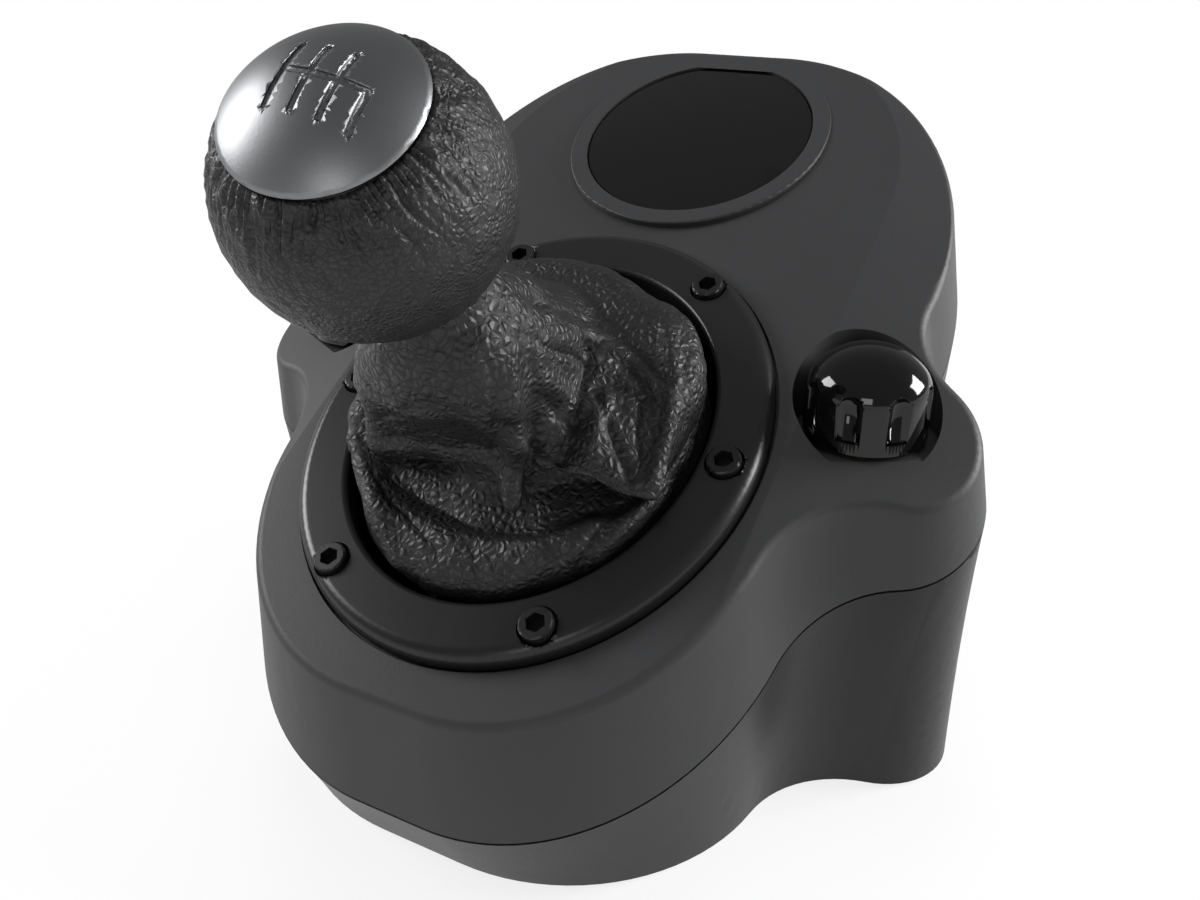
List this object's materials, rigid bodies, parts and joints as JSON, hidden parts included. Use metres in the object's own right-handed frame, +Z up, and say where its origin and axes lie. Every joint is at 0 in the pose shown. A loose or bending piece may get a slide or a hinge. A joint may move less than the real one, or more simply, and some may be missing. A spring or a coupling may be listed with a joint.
{
  "type": "sim racing gear shifter",
  "caption": "Desk-clamped H-pattern gear shifter with leather ball knob, leather gaiter and a tilted deck.",
  "frame": {"origin": "centre of the lever opening dropped onto the base plate's underside", "axes": "+X to the driver's right, +Y away from the driver, +Z up"},
  "size_m": [0.1812, 0.191, 0.1621],
  "materials": {
    "deck_plastic": "fine textured dark grey",
    "shell_plastic": "satin black",
    "bezel_coat": "satin black coat",
    "black_steel": "black oxide",
    "gaiter_leather": "coarse black grain",
    "knob_leather": "black grain",
    "gloss_black": "polished black",
    "satin_metal": "satin graphite",
    "zinc_steel": "zinc plated",
    "cast_metal": "dark cast metal",
    "brass_metal": "plain brass",
    "soft_rubber": "black rubber",
    "board_green": "solder mask"
  },
  "bodies": {
    "housing": {"upper_housing": "deck_plastic", "lower_housing": "shell_plastic", "base_plate": "shell_plastic", "bezel_ring": "bezel_coat", "bezel_screws": "black_steel", "gaiter": "gaiter_leather", "gaiter_retainer": "zinc_steel", "badge_disc": "gloss_black", "centring_spring": "zinc_steel", "mechanism_tower": "cast_metal", "tower_screws": "zinc_steel", "gate_plate": "zinc_steel", "gate_screws": "zinc_steel", "select_sensor": "shell_plastic", "circuit_board": "board_green", "board_screws": "zinc_steel", "cable_inlet": "soft_rubber", "base_screws": "zinc_steel", "shell_screws": "zinc_steel", "threaded_inserts": "brass_metal", "grip_strips": "soft_rubber", "clamp_bush_left": "brass_metal", "clamp_bush_right": "brass_metal"},
    "yoke": {"select_yoke": "cast_metal", "yoke_pins": "zinc_steel", "shift_sensor": "shell_plastic", "spring_clip": "zinc_steel"},
    "lever": {"lever_block": "cast_metal", "cross_axles": "zinc_steel", "reverse_switch": "shell_plastic", "lever_tube": "zinc_steel", "gaiter_collar": "shell_plastic"},
    "stick": {"shift_rod": "zinc_steel", "gate_pin": "zinc_steel", "knob_core": "shell_plastic", "knob_leather": "knob_leather", "knob_cap": "satin_metal", "knob_nut": "zinc_steel", "reverse_spring": "zinc_steel"},
    "clamp_drive_left": {"clamp_knob_left": "gloss_black", "clamp_screw_left": "zinc_steel", "screw_collar_left": "zinc_steel"},
    "jaw_left": {"clamp_jaw_left": "cast_metal", "jaw_nut_left": "zinc_steel", "jaw_pad_left": "soft_rubber"},
    "clamp_drive_right": {"clamp_knob_right": "gloss_black", "clamp_screw_right": "zinc_steel", "screw_collar_right": "zinc_steel"},
    "jaw_right": {"clamp_jaw_right": "cast_metal", "jaw_nut_right": "zinc_steel", "jaw_pad_right": "soft_rubber"}
  },
  "joints": [
    {"name": "select", "type": "hinge", "parent": "housing", "child": "yoke", "pos_m": [0, 0.02, 0.04636], "axis": [0, 0.8161, 0.5779], "range_deg": [-9, 9], "stiffness_Nm_per_rad": 1.5, "deforming": ["gaiter"]},
    {"name": "shift", "type": "hinge", "parent": "yoke", "child": "lever", "pos_m": [0, 0.02, 0.04636], "axis": [1, 0, 0], "range_deg": [-7, 7]},
    {"name": "reverse_press", "type": "slide", "parent": "lever", "child": "stick", "axis": [0, 0.5779, -0.8161], "range_m": [0, 0.005], "stiffness_N_per_m": 800, "springref_m": -0.004, "deforming": ["reverse_spring"]},
    {"name": "clamp_turn_left", "type": "hinge", "parent": "housing", "child": "clamp_drive_left", "pos_m": [-0.0645, 0.0268, 0.087], "axis": [0, 0, 1], "range_deg": [0, 4320]},
    {"name": "jaw_slide_left", "type": "slide", "parent": "housing", "child": "jaw_left", "axis": [0, 0, -1], "range_m": [0, 0.036]},
    {"name": "clamp_turn_right", "type": "hinge", "parent": "housing", "child": "clamp_drive_right", "pos_m": [0.0645, 0.0268, 0.087], "axis": [0, 0, 1], "range_deg": [0, 4320]},
    {"name": "jaw_slide_right", "type": "slide", "parent": "housing", "child": "jaw_right", "axis": [0, 0, -1], "range_m": [0, 0.036]}
  ],
  "couplings": [
    {"joint": "clamp_turn_left", "follows": "jaw_slide_left", "rad_per_m": 2094.4},
    {"joint": "clamp_turn_right", "follows": "jaw_slide_right", "rad_per_m": 2094.4}
  ]
}
